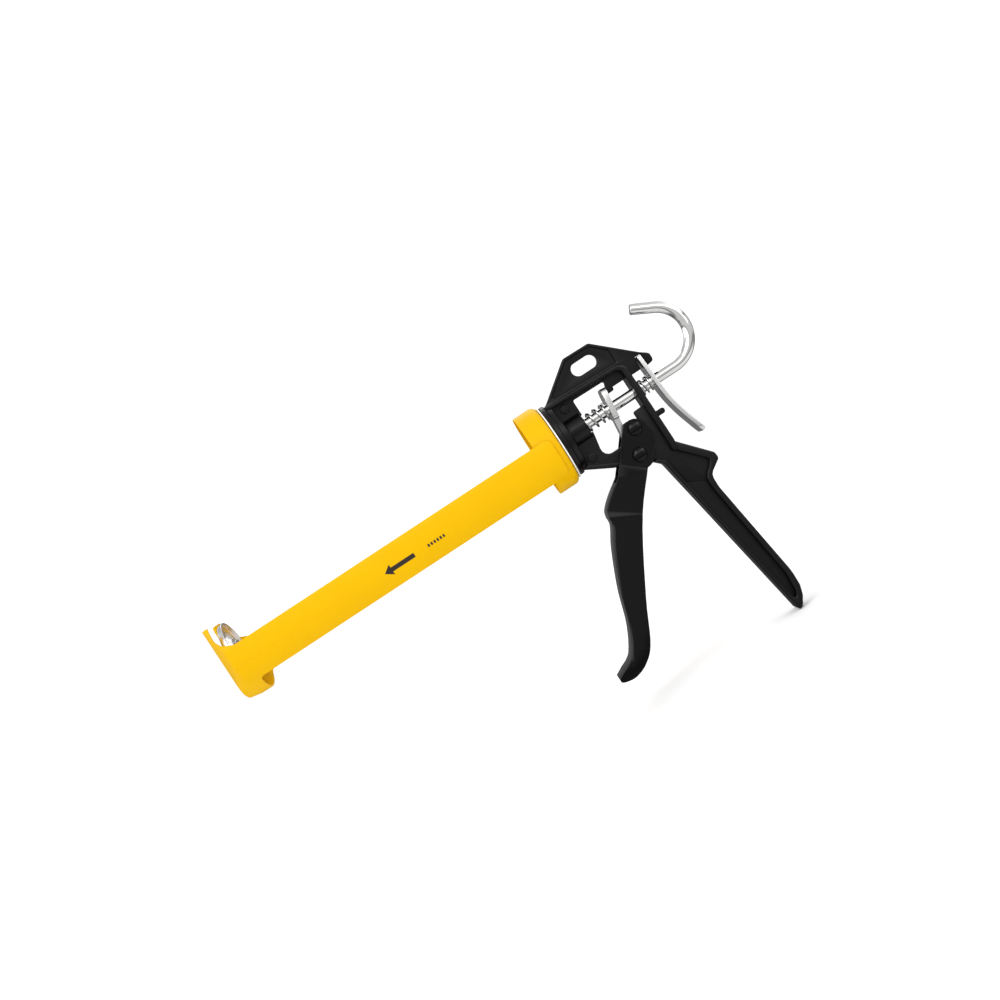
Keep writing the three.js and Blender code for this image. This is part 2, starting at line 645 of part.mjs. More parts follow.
const gun = new THREE.Group();
gun.position.set(-MIDDLE_X, 0, -BOTTOM_Z);
gun.add(
  piece('handle_casting', handleCasting(), blackCasting),
  piece('friction_washer', frictionWasher(), nylon),
  piece('retainer_plate', retainerPlate(), zinc),
  piece('rear_ring', rearRing(), paint),
  piece('cradle_frame', cradleFrame(), paint),
  piece('push_rod', pushRod(), chrome),
  piece('piston_disc', pistonDisc(), zinc),
  piece('piston_backing_washer', pistonBackingWasher(), zinc),
  piece('piston_lock_washer', pistonLockWasher(), springSteel),
  piece('piston_nut', pistonNut(), zinc),
  piece('drive_plate', drivePlate(), zinc),
  piece('drive_spring', coilSpring(SPRING_POCKET_X + GAP, 84.1, 5.9, 1.5, 6), springSteel),
  piece('release_lever', releaseLever(), zinc),
  piece('release_spring', coilSpring(WALL_BACK + GAP, 115.6, 5.3, 1.2, 3), springSteel),
  piece('trigger', trigger(), blackEnamel),
  piece('trigger_pivot_rivet', rivet(PIVOT, PIVOT_SHANK_R), blackEnamel),
  piece('drive_rivet', rivet(PIN, PIN_SHANK_R), blackEnamel),
  piece('drive_roller', driveRoller(), zinc),
);
retainerScrewPlaces().forEach(({ y, z }, i) => {
  const screw = piece(`retainer_screw_${i + 1}`, retainerScrew(), zinc);
  screw.position.set(0, y, z);
  gun.add(screw);
});

const caulkingGun = new THREE.Group();
caulkingGun.add(gun);

export default caulkingGun;
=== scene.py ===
"""A caulking gun: fine surfaces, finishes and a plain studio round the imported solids.

Sizes are in millimetres in the barrel frame: the push rod's axis is X, the nose points to -X, the
grip hangs down -Z, and X is zero 47.9 mm in front of the nylon washer. Finished meshes are in metres.
"""

from __future__ import annotations

import logging
import math
from dataclasses import dataclass
from enum import Enum

import bmesh
import bpy
from mathutils import Matrix, Vector

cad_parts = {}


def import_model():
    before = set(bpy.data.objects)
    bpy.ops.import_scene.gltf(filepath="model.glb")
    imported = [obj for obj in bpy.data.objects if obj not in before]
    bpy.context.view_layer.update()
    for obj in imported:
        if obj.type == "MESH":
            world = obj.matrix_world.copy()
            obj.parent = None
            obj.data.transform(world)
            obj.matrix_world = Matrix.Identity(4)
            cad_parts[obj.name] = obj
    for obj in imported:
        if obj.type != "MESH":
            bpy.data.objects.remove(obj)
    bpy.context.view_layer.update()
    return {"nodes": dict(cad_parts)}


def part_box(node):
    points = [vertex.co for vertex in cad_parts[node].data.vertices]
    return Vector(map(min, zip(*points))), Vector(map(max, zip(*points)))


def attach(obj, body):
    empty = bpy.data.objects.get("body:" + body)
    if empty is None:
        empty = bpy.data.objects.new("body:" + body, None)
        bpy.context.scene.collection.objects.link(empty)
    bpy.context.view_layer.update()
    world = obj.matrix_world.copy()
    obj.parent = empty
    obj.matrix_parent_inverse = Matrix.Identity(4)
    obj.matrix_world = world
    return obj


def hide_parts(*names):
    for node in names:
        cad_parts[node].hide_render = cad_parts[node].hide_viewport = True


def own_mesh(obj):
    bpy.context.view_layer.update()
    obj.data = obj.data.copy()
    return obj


LOG = logging.getLogger("caulking_gun")
MM = 0.001
FULL_TURN = 2 * math.pi

Colour = tuple[float, float, float]


# ------------------------------------------------------------------------------- the shared frame


class Body(Enum):
    """The bodies that pieces ride on."""

    HANDLE = "handle"
    CRADLE = "cradle"
    TRIGGER = "trigger"
    JAM_PLATE = "jam_plate"
    PISTON = "piston"
    ROD = "rod"
    BRAKE = "brake"


class Slot(Enum):
    """The material slots of the record."""

    CRADLE = "cradle_paint"
    CASTING = "casting_black"
    TRIGGER = "trigger_black"
    ROD = "rod_chrome"
    ZINC = "zinc_plate"
    SPRING = "spring_steel"
    NYLON = "nylon_white"


@dataclass(frozen=True)
class Barrel:
    """Where the barrel frame lies in the row frame, in metres."""

    zero_x: float
    axis_z: float

    @classmethod
    def from_washer(cls, washer_front: float = 47.9) -> Barrel:
        """Reads the frame off the nylon washer, which is round about the rod's axis.

        Args:
            washer_front: the washer's front face along the barrel.

        Returns:
            The barrel frame.
        """
        low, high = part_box("friction_washer")
        return cls(low.x - washer_front * MM, (low.z + high.z) / 2)

    def to_row(self) -> Matrix:
        """Gives the matrix from barrel millimetres to row metres."""
        return Matrix.Translation((self.zero_x, 0, self.axis_z)) @ Matrix.Scale(MM, 4)


# ------------------------------------------------------------------------------- mesh making


@dataclass
class Workshop:
    """Turns finished bmeshes into pieces that ride on the frame."""

    barrel: Barrel
    nodes: dict[str, bpy.types.Object]

    def copy_of(self, node: str) -> bmesh.types.BMesh:
        """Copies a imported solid, merged and with its flat faces made whole.

        Args:
            node: the solid's node name.

        Returns:
            The copy, in barrel millimetres.
        """
        bm = bmesh.new()
        bm.from_mesh(self.nodes[node].data)
        bm.transform(self.barrel.to_row().inverted())
        bmesh.ops.remove_doubles(bm, verts=bm.verts, dist=0.004)
        bmesh.ops.dissolve_degenerate(bm, edges=bm.edges, dist=0.004)
        bmesh.ops.dissolve_limit(
            bm, angle_limit=math.radians(0.6), verts=bm.verts, edges=bm.edges, delimit={"NORMAL"}
        )
        return bm

    def place(
        self,
        bm: bmesh.types.BMesh,
        name: str,
        body: Body,
        material: bpy.types.Material,
        slot: Slot,
        stands_for: tuple[str, ...] = (),
        sharp: float = 32,
    ) -> bpy.types.Object:
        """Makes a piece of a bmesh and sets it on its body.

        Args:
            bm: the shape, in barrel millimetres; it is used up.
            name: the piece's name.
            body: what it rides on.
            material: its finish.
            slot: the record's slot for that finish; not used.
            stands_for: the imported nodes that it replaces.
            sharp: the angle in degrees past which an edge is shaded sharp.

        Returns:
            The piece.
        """
        for face in bm.faces:
            face.smooth = True
        for edge in bm.edges:
            edge.smooth = edge.calc_face_angle(math.pi) < math.radians(sharp)
        bm.transform(self.barrel.to_row())
        mesh = bpy.data.meshes.new(name)
        bm.to_mesh(mesh)
        bm.free()
        mesh.materials.append(material)
        piece = bpy.data.objects.new(name, mesh)
        bpy.context.scene.collection.objects.link(piece)
        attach(piece, body.value)
        if stands_for:
            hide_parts(*stands_for)
        LOG.info("%s: %d faces, on %s", name, len(mesh.polygons), body.value)
        return piece


def heal(bm: bmesh.types.BMesh, distance: float = 0.003) -> None:
    """Merges doubles and points the faces of a closed shape outwards.

    Args:
        bm: the shape.
        distance: how near two vertices are merged.
    """
    bmesh.ops.remove_doubles(bm, verts=bm.verts, dist=distance)
    bmesh.ops.recalc_face_normals(bm, faces=bm.faces)


def round_edges(
    bm: bmesh.types.BMesh,
    edges: list[bmesh.types.BMEdge],
    radius: float,
    segments: int = 3,
    clamped: bool = True,
) -> None:
    """Rounds edges with an even bevel.

    Args:
        bm: the shape.
        edges: the edges to round.
        radius: how far the round reaches on each side.
        segments: the strips across it.
        clamped: whether short edges hold the radius back.
    """
    bmesh.ops.bevel(
        bm,
        geom=edges,
        offset=radius,
        offset_type="OFFSET",
        segments=segments,
        profile=0.5,
        affect="EDGES",
        clamp_overlap=clamped,
        loop_slide=True,
        material=-1,
    )


def corners_of(bm: bmesh.types.BMesh, angle: float = 38) -> list[bmesh.types.BMEdge]:
    """Lists the edges where two faces meet at more than an angle in degrees."""
    return [e for e in bm.edges if e.is_manifold and e.calc_face_angle(0) > math.radians(angle)]


def rim_edges(bm: bmesh.types.BMesh, level: float, angle: float = 50) -> list[bmesh.types.BMEdge]:
    """Lists the outer edges that lie at one distance from the middle plane.

    Args:
        bm: the shape.
        level: their distance from the middle plane, on both sides.
        angle: the least angle between their faces, in degrees.

    Returns:
        The edges.
    """
    slack = 0.05
    return [
        e for e in bm.edges
        if e.is_manifold and e.calc_face_angle_signed(0) > math.radians(angle)
        and all(abs(abs(v.co.y) - level) < slack for v in e.verts)
        and e.verts[0].co.y * e.verts[1].co.y > 0
    ]


def width_across(face: bmesh.types.BMFace) -> float:
    """Gives how far a face reaches across the gun."""
    across = [v.co.y for v in face.verts]
    return max(across) - min(across)


def spun(profile: list[tuple[float, float, float]], steps: int = 96) -> bmesh.types.BMesh:
    """Spins a closed profile round the rod's axis.

    Args:
        profile: (along, radius, corner) points; the corner is rounded by that much.
        steps: the faces round the axis.

    Returns:
        The solid, in barrel millimetres.
    """
    bm = bmesh.new()
    points = [bm.verts.new((along, 0, radius)) for along, radius, _ in profile]
    closed = profile[0][1] > 0
    for i in range(len(points) - (0 if closed else 1)):
        bm.edges.new((points[i], points[(i + 1) % len(points)]))
    for size in sorted({corner for *_, corner in profile if corner > 0}):
        rounded = [v for v, (*_, corner) in zip(points, profile) if corner == size]
        bmesh.ops.bevel(
            bm, geom=rounded, offset=size, offset_type="OFFSET", segments=5, profile=0.5,
            affect="VERTICES", clamp_overlap=True, material=-1,
        )
    bmesh.ops.spin(
        bm, geom=bm.verts[:] + bm.edges[:], cent=(0, 0, 0), axis=(1, 0, 0), dvec=(0, 0, 0),
        angle=FULL_TURN, steps=steps, use_merge=True, use_normal_flip=False, use_duplicate=False,
    )
    heal(bm)
    return bm


def moved(bm: bmesh.types.BMesh, turn: Matrix, place: Vector) -> bmesh.types.BMesh:
    """Turns a shape and moves it to its place.

    Args:
        bm: the shape.
        turn: the rotation.
        place: where its origin goes.

    Returns:
        The same shape.
    """
    bm.transform(Matrix.Translation(place) @ turn.to_4x4())
    return bm


# ------------------------------------------------------------------------------- finishes


class Surface:
    """A material being made: one shader, with helpers that add nodes on Object coordinates."""

    def __init__(self, name: str) -> None:
        """Starts a material.

        Args:
            name: its name.
        """
        self.material = bpy.data.materials.new(name)
        self.material.use_nodes = True
        self.tree = self.material.node_tree
        self.shader = self.tree.nodes["Principled BSDF"]
        self.coordinates = self.tree.nodes.new("ShaderNodeTexCoord")

    def set(self, **values: float | Colour) -> None:
        """Sets plain values on the shader's own sockets.

        Args:
            values: socket names, with _ for a space, and their values.
        """
        for name, value in values.items():
            socket = self.shader.inputs[name.replace("_", " ")]
            socket.default_value = (*value, 1) if isinstance(value, tuple) else value

    def noise(
        self, size: tuple[float, float, float], detail: float = 3, rough: float = 0.5
    ) -> bpy.types.NodeSocket:
        """Adds noise whose grain has a size in millimetres along each axis.

        Args:
            size: the grain along X, Y and Z.
            detail: the octaves.
            rough: how strong the finer octaves are.

        Returns:
            The noise value.
        """
        mapping = self.tree.nodes.new("ShaderNodeMapping")
        mapping.inputs["Scale"].default_value = [1 / (s * MM) for s in size]
        noise = self.tree.nodes.new("ShaderNodeTexNoise")
        noise.inputs["Scale"].default_value = 1
        noise.inputs["Detail"].default_value = detail
        noise.inputs["Roughness"].default_value = rough
        self.tree.links.new(self.coordinates.outputs["Object"], mapping.inputs["Vector"])
        self.tree.links.new(mapping.outputs["Vector"], noise.inputs["Vector"])
        return noise.outputs["Fac"]

    def vary(self, value: bpy.types.NodeSocket, low: float, high: float, socket: str) -> None:
        """Drives a shader socket between two values.

        Args:
            value: the noise.
            low: the least value.
            high: the greatest value.
            socket: the shader's socket.
        """
        usual_low, usual_high = 0.32, 0.68
        spread = self.tree.nodes.new("ShaderNodeMapRange")
        spread.inputs["From Min"].default_value = usual_low
        spread.inputs["From Max"].default_value = usual_high
        spread.inputs["To Min"].default_value = low
        spread.inputs["To Max"].default_value = high
        self.tree.links.new(value, spread.inputs["Value"])
        self.tree.links.new(spread.outputs["Result"], self.shader.inputs[socket])

    def tint(self, value: bpy.types.NodeSocket, dark: Colour, light: Colour) -> None:
        """Drives the base colour between two tones.

        Args:
            value: the noise.
            dark: the tone at its low end.
            light: the tone at its high end.
        """
        ramp = self.tree.nodes.new("ShaderNodeValToRGB")
        first, last = ramp.color_ramp.elements
        first.position, first.color = 0.3, (*dark, 1)
        last.position, last.color = 0.7, (*light, 1)
        self.tree.links.new(value, ramp.inputs["Fac"])
        self.tree.links.new(ramp.outputs["Color"], self.shader.inputs["Base Color"])

    def relief(self, value: bpy.types.NodeSocket, height: float, strength: float = 1) -> None:
        """Adds bump of a height in millimetres.

        Args:
            value: the noise.
            height: the depth between its low and high end.
            strength: how much of it shows.
        """
        bump = self.tree.nodes.new("ShaderNodeBump")
        bump.inputs["Distance"].default_value = height * MM
        bump.inputs["Strength"].default_value = strength
        self.tree.links.new(value, bump.inputs["Height"])
        self.tree.links.new(bump.outputs["Normal"], self.shader.inputs["Normal"])


@dataclass(frozen=True)
class StovedPaint:
    """Paint with a gloss coat and a faint orange peel."""

    name: str
    dark: Colour
    light: Colour
    roughness: tuple[float, float]
    coat: float
    coat_roughness: float
    shine: float
    peel: float = 2.2
    peel_height: float = 0.012

    def make(self) -> bpy.types.Material:
        """Builds the material.

        Returns:
            The material.
        """
        surface = Surface(self.name)
        surface.set(
            Coat_Weight=self.coat, Coat_Roughness=self.coat_roughness, Specular_IOR_Level=self.shine
        )
        surface.tint(surface.noise((26, 26, 26), 4), self.dark, self.light)
        surface.vary(surface.noise((7, 7, 7), 4, 0.6), *self.roughness, "Roughness")
        surface.relief(surface.noise((self.peel,) * 3, 2), self.peel_height)
        return surface.material


@dataclass(frozen=True)
class SprayedCasting:
    """Satin black over die-cast metal, with the casting's fine grain under it."""

    name: str
    dark: Colour
    light: Colour
    roughness: tuple[float, float]
    shine: float = 0.27
    grain: float = 0.55
    grain_height: float = 0.02

    def make(self) -> bpy.types.Material:
        """Builds the material.

        Returns:
            The material.
        """
        surface = Surface(self.name)
        surface.set(Specular_IOR_Level=self.shine)
        surface.tint(surface.noise((18, 18, 18), 5, 0.6), self.dark, self.light)
        surface.vary(surface.noise((4, 4, 4), 5, 0.65), *self.roughness, "Roughness")
        surface.relief(surface.noise((self.grain,) * 3, 4, 0.6), self.grain_height)
        return surface.material


@dataclass(frozen=True)
class PlatedMetal:
    """Bright plated steel with fine lines along one axis."""

    name: str
    dark: Colour
    light: Colour
    roughness: tuple[float, float]
    line: tuple[float, float, float]
    line_height: float

    def make(self) -> bpy.types.Material:
        """Builds the material.

        Returns:
            The material.
        """
        surface = Surface(self.name)
        surface.set(Metallic=1.0)
        surface.tint(surface.noise((9, 9, 9), 4, 0.55), self.dark, self.light)
        surface.vary(surface.noise(self.line, 4, 0.6), *self.roughness, "Roughness")
        surface.relief(surface.noise(self.line, 3, 0.5), self.line_height)
        return surface.material


@dataclass(frozen=True)
class PlainPlastic:
    """Natural nylon: slightly waxy, with faint flow marks."""

    name: str
    dark: Colour
    light: Colour

    def make(self) -> bpy.types.Material:
        """Builds the material.

        Returns:
            The material.
        """
        surface = Surface(self.name)
        surface.set(Subsurface_Weight=0.2, Subsurface_Scale=0.001, IOR=1.53)
        surface.tint(surface.noise((5, 5, 5), 3), self.dark, self.light)
        surface.vary(surface.noise((1.5, 1.5, 1.5), 3), 0.36, 0.5, "Roughness")
        surface.relief(surface.noise((0.8, 0.8, 0.8), 2), 0.01)
        return surface.material


@dataclass(frozen=True)
class PrintedInk:
    """Dark screen ink, slightly uneven."""

    name: str
    dark: Colour
    light: Colour

    def make(self) -> bpy.types.Material:
        """Builds the material.

        Returns:
            The material.
        """
        surface = Surface(self.name)
        surface.tint(surface.noise((0.7, 0.7, 0.7), 4), self.dark, self.light)
        surface.vary(surface.noise((1.2, 1.2, 1.2), 3), 0.4, 0.6, "Roughness")
        return surface.material


@dataclass(frozen=True)
class Finishes:
    """Every finish of the gun."""

    yellow: bpy.types.Material
    casting: bpy.types.Material
    enamel: bpy.types.Material
    chrome: bpy.types.Material
    zinc: bpy.types.Material
    spring: bpy.types.Material
    nylon: bpy.types.Material
    ink: bpy.types.Material

    @classmethod
    def mixed(cls) -> Finishes:
        """Mixes the finishes.

        Returns:
            The set.
        """
        return cls(
            yellow=StovedPaint(
                "yellow_paint", (0.745, 0.418, 0.0), (0.765, 0.434, 0.0), (0.34, 0.42),
                coat=0.03, coat_roughness=0.12, shine=0.05,
            ).make(),
            casting=SprayedCasting(
                "satin_black", (0.0018, 0.0016, 0.0017), (0.0030, 0.0027, 0.0028), (0.28, 0.38)
            ).make(),
            enamel=StovedPaint(
                "black_enamel", (0.0014, 0.0010, 0.0012), (0.0022, 0.0017, 0.0019), (0.15, 0.22),
                coat=0.14, coat_roughness=0.06, shine=0.14,
            ).make(),
            chrome=PlatedMetal(
                "chrome", (0.80, 0.80, 0.79), (0.88, 0.88, 0.87), (0.07, 0.13),
                line=(60, 1.4, 1.4), line_height=0.0006,
            ).make(),
            zinc=PlatedMetal(
                "bright_zinc", (0.78, 0.78, 0.78), (0.86, 0.86, 0.85), (0.22, 0.32),
                line=(2.5, 2.5, 14), line_height=0.0008,
            ).make(),
            spring=PlatedMetal(
                "spring_wire", (0.60, 0.60, 0.60), (0.78, 0.78, 0.78), (0.16, 0.26),
                line=(0.9, 0.9, 0.9), line_height=0.001,
            ).make(),
            nylon=PlainPlastic("nylon", (0.80, 0.80, 0.78), (0.88, 0.87, 0.85)).make(),
            ink=PrintedInk("dark_ink", (0.016, 0.008, 0.004), (0.028, 0.014, 0.008)).make(),
        )


# ------------------------------------------------------------------------------- cradle


@dataclass
class Cradle:
    """The yellow pressings: the ring at the back and the rails with their nose cap."""

    ring_radius: float = 26.8
    ring_front: float = 32.8
    ring_back: float = 47.6
    ring_corner: float = 3.6
    wall: float = 1.4
    bore: float = 15.3
    rail_radius: float = 28.4
    cut_edge: float = 0.3
    mark_x: float = -69.0
    mark_z: float = -9.0
    mark_lift: float = 0.04
    tick_count: int = 6
    tick_pitch: float = 2.1

    def ring(self) -> bmesh.types.BMesh:
        """Spins the ring's cup.

        Returns:
            The ring, with its lip and corner rounded.
        """
        lip = 0.35
        inner = self.ring_radius - self.wall
        return spun([
            (self.ring_front, self.ring_radius, lip),
            (self.ring_back, self.ring_radius, self.ring_corner),
            (self.ring_back, self.bore, lip),
            (self.ring_back - self.wall, self.bore, lip),
            (self.ring_back - self.wall, inner, self.ring_corner - self.wall),
            (self.ring_front, inner, lip),
        ], steps=128)

    def frame(self, shop: Workshop) -> bmesh.types.BMesh:
        """Softens the cut edges of the rails and cap.

        Args:
            shop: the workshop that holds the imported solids.

        Returns:
            The pressing.
        """
        bm = shop.copy_of("cradle_frame")
        round_edges(bm, corners_of(bm, 50), self.cut_edge, 2)
        return bm

    def marks(self) -> bmesh.types.BMesh:
        """Draws the printed marks: an arrow to the nose and a row of ticks.

        Returns:
            Thin sheets of ink that lie on the near rail.
        """
        bm = bmesh.new()
        tip, neck, tail, barb, shaft = -11, -6.2, 9.6, 3.4, 1.35
        arrow = [
            (tip, 0), (neck, barb), (neck, shaft), (tail, shaft),
            (tail, -shaft), (neck, -shaft), (neck, -barb),
        ]
        bm.faces.new([bm.verts.new((self.mark_x + x, 0, self.mark_z + z)) for x, z in arrow])
        first, wide, half = 19, 1.2, 0.9
        for i in range(self.tick_count):
            left = self.mark_x + first + self.tick_pitch * i
            ends = [(left, -half), (left + wide, -half), (left + wide, half), (left, half)]
            bm.faces.new([bm.verts.new((x, 0, self.mark_z + z)) for x, z in ends])
        for level in range(-3, 4):
            bmesh.ops.bisect_plane(
                bm, geom=bm.verts[:] + bm.edges[:] + bm.faces[:], dist=1e-4,
                plane_co=(0, 0, self.mark_z + level), plane_no=(0, 0, 1),
            )
        reach = self.rail_radius + self.mark_lift
        for vertex in bm.verts:
            vertex.co.y = -math.sqrt(reach**2 - vertex.co.z**2)
        bmesh.ops.recalc_face_normals(bm, faces=bm.faces)
        turned_in = [f for f in bm.faces if f.normal.y > 0]
        bmesh.ops.reverse_faces(bm, faces=turned_in)
        return bm

    def build(self, shop: Workshop, finishes: Finishes) -> None:
        """Makes the cradle's pieces.

        Args:
            shop: the workshop.
            finishes: the finishes.
        """
        shop.place(
            self.ring(), "rear_ring_pressing", Body.CRADLE, finishes.yellow, Slot.CRADLE, ("rear_ring",)
        )
        shop.place(
            self.frame(shop), "cradle_pressing", Body.CRADLE, finishes.yellow, Slot.CRADLE,
            ("cradle_frame",),
        )
        shop.place(self.marks(), "rail_marks", Body.CRADLE, finishes.ink, Slot.CRADLE)


# ------------------------------------------------------------------------------- handle


@dataclass
class Handle:
    """The die-cast handle and what holds the cradle on it.

    Each pair in rims is an outline's distance from the middle plane and the round along it.
    """

    rims: tuple[tuple[float, float], ...] = (
        (8.5, 0.75), (5.0, 0.6), (10.0, 0.9), (7.7, 0.5), (3.4, 0.3), (3.6, 0.5),
    )
    washer_front: float = 47.9
    washer_back: float = 48.8
    washer_bore: float = 15.3
    washer_radius: float = 24.6
    plate_edge: float = 0.2
    screw_edge: float = 0.08

    def casting(self, shop: Workshop) -> bmesh.types.BMesh:
        """Rounds the casting's outlines.

        Args:
            shop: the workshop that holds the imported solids.

        Returns:
            The casting.
        """
        bm = shop.copy_of("handle_casting")
        for level, radius in self.rims:
            round_edges(bm, rim_edges(bm, level), radius, clamped=False)
        return bm

    def washer(self) -> bmesh.types.BMesh:
        """Spins the nylon washer.

        Returns:
            The washer.
        """
        lip = 0.25
        return spun([
            (self.washer_front, self.washer_bore, lip),
            (self.washer_front, self.washer_radius, lip),
            (self.washer_back, self.washer_radius, lip),
            (self.washer_back, self.washer_bore, lip),
        ], steps=128)

    def build(self, shop: Workshop, finishes: Finishes) -> None:
        """Makes the handle's pieces.

        Args:
            shop: the workshop.
            finishes: the finishes.
        """
        shop.place(
            self.casting(shop), "handle_die_casting", Body.HANDLE, finishes.casting, Slot.CASTING,
            ("handle_casting",),
        )
        shop.place(
            self.washer(), "swivel_washer", Body.HANDLE, finishes.nylon, Slot.NYLON, ("friction_washer",)
        )
        plate = shop.copy_of("retainer_plate")
        round_edges(plate, corners_of(plate), self.plate_edge, 2)
        shop.place(plate, "swivel_plate", Body.HANDLE, finishes.zinc, Slot.ZINC, ("retainer_plate",))
        for number in (1, 2, 3):
            screw = shop.copy_of(f"retainer_screw_{number}")
            round_edges(screw, corners_of(screw, 50), self.screw_edge, 2)
            shop.place(
                screw, f"swivel_screw_{number}", Body.HANDLE, finishes.zinc, Slot.ZINC,
                (f"retainer_screw_{number}",),
            )


# ------------------------------------------------------------------------------- push rod and piston


@dataclass
class PushRod:
    """The hooked rod with the piston on its front end."""

    radius: float = 3.5
    stud_radius: float = 2.5
    stud_front: float = -188.6
    shoulder: float = -179.6
    bend_x: float = 133.0
    bend_radius: float = 19.5
    bend_sweep: float = math.radians(152)
    tail: float = 15.0
    play: float = 0.3
    piston_radius: float = 20.5
    piston_back: float = -181.5
    piston_sheet: float = 1.2
    piston_dish: float = 2.8
    nut_edge: float = 0.25

    def rod(self) -> bmesh.types.BMesh:
        """Spins the straight rod, then bends it into the hook and closes its end.

        Returns:
            The rod.
        """
        bm = spun([
            (self.stud_front, 0, 0),
            (self.stud_front, self.stud_radius, 0.45),
            (self.shoulder, self.stud_radius, 0),
            (self.shoulder, self.radius, 0.4),
            (self.bend_x, self.radius, 0),
        ], steps=40)
        ring = [v for v in bm.verts if v.is_boundary] + [e for e in bm.edges if e.is_boundary]
        bend = bmesh.ops.spin(
            bm, geom=ring, cent=(self.bend_x, 0, self.bend_radius), axis=(0, -1, 0), dvec=(0, 0, 0),
            angle=self.bend_sweep, steps=56, use_merge=False, use_normal_flip=False, use_duplicate=False,
        )
        last = [e for e in bend["geom_last"] if isinstance(e, bmesh.types.BMEdge)]
        pulled = bmesh.ops.extrude_edge_only(bm, edges=last)["geom"]
        tip = [v for v in pulled if isinstance(v, bmesh.types.BMVert)]
        along = Vector((math.cos(self.bend_sweep), 0, math.sin(self.bend_sweep))) * self.tail
        bmesh.ops.translate(bm, verts=tip, vec=along)
        rim = [e for e in pulled if isinstance(e, bmesh.types.BMEdge) and all(v in tip for v in e.verts)]
        bmesh.ops.contextual_create(bm, geom=rim)
        heal(bm)
        round_edges(bm, [e for e in corners_of(bm, 60) if e.verts[0].co.z > self.radius], 0.5, 4)
        return bm

    def piston(self) -> bmesh.types.BMesh:
        """Spins the pressed disc: a flat hub, a cone, a flat rim and a turned-back lip.

        Returns:
            The disc.
        """
        bore, rim = self.stud_radius + self.play, self.piston_radius
        back, front = self.piston_back, self.piston_back - self.piston_sheet
        dish_back, dish_front = back - self.piston_dish, front - self.piston_dish
        return spun([
            (front, bore, 0.1),
            (front, 7.9, 0.8),
            (dish_front, 12.1, 1.2),
            (dish_front, rim - 0.7, 1.6),
            (back - 0.1, rim, 0.4),
            (back, rim - self.piston_sheet, 0.3),
            (dish_back, rim - 1.7, 0.9),
            (dish_back, 12.7, 0.9),
            (back, 8.5, 0.8),
            (back, bore, 0.1),
        ], steps=112)

    def washer(self, low: float, high: float, radius: float) -> bmesh.types.BMesh:
        """Spins a flat washer on the stud.

        Args:
            low: its front face.
            high: its back face.
            radius: its outside.

        Returns:
            The washer.
        """
        bore = self.stud_radius + self.play
        inside, outside = 0.1, 0.2
        return spun([
            (low, bore, inside), (low, radius, outside), (high, radius, outside), (high, bore, inside),
        ], steps=64)

    def nut(self, shop: Workshop) -> bmesh.types.BMesh:
        """Rounds the edges of the hexagon nut and of its bore.

        Args:
            shop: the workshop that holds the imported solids.

        Returns:
            The nut.
        """
        bm = shop.copy_of("piston_nut")
        round_edges(bm, corners_of(bm, 50), self.nut_edge)
        return bm

    def build(self, shop: Workshop, finishes: Finishes) -> None:
        """Makes the rod's and the piston's pieces.

        Args:
            shop: the workshop.
            finishes: the finishes.
        """
        shop.place(self.rod(), "hooked_rod", Body.ROD, finishes.chrome, Slot.ROD, ("push_rod",))
        shop.place(
            self.piston(), "piston_pressing", Body.PISTON, finishes.zinc, Slot.ZINC, ("piston_disc",)
        )
        shop.place(
            self.washer(low=-181.2, high=-179.9, radius=7.5), "stud_washer", Body.ROD, finishes.zinc,
            Slot.ZINC, ("piston_backing_washer",),
        )
        shop.place(
            self.washer(low=-184.0, high=-183.0, radius=4.4), "stud_spring_washer", Body.ROD,
            finishes.spring, Slot.SPRING, ("piston_lock_washer",),
        )
        shop.place(self.nut(shop), "stud_nut", Body.ROD, finishes.zinc, Slot.ZINC, ("piston_nut",))


# ------------------------------------------------------------------------------- drive and brake


@dataclass
class CoilSpring:
    """A compression spring round the rod, with its end turns closed."""

    low: float
    high: float
    outside: float
    wire: float
    open_turns: float
    closed_turns: float = 0.9
    sides: int = 14
    steps_per_turn: int = 40

    def mesh(self) -> bmesh.types.BMesh:
        """Winds the wire in three stretches: closed, open, closed.

        Returns:
            The spring.
        """
        half = self.wire / 2
        bm = bmesh.new()
        start = Matrix.Translation((self.low + half, 0, self.outside - half))
        made = bmesh.ops.create_circle(
            bm, cap_ends=True, segments=self.sides, radius=half,
            matrix=start @ Matrix.Rotation(math.pi / 2, 4, "X"),
        )
        geometry = made["verts"] + bm.edges[:]
        closed = (self.closed_turns, self.wire * self.closed_turns)
        rise = self.high - self.low - self.wire - 2 * self.wire * self.closed_turns
        for turns, climb in (closed, (self.open_turns, rise), closed):
            steps = round(turns * self.steps_per_turn)
            wound = bmesh.ops.spin(
                bm, geom=geometry, cent=(0, 0, 0), axis=(1, 0, 0), dvec=(climb / steps, 0, 0),
                angle=turns * FULL_TURN, steps=steps,
                use_merge=False, use_normal_flip=False, use_duplicate=False,
            )
            geometry = wound["geom_last"]
        bmesh.ops.contextual_create(bm, geom=[e for e in geometry if isinstance(e, bmesh.types.BMEdge)])
        heal(bm)
        return bm


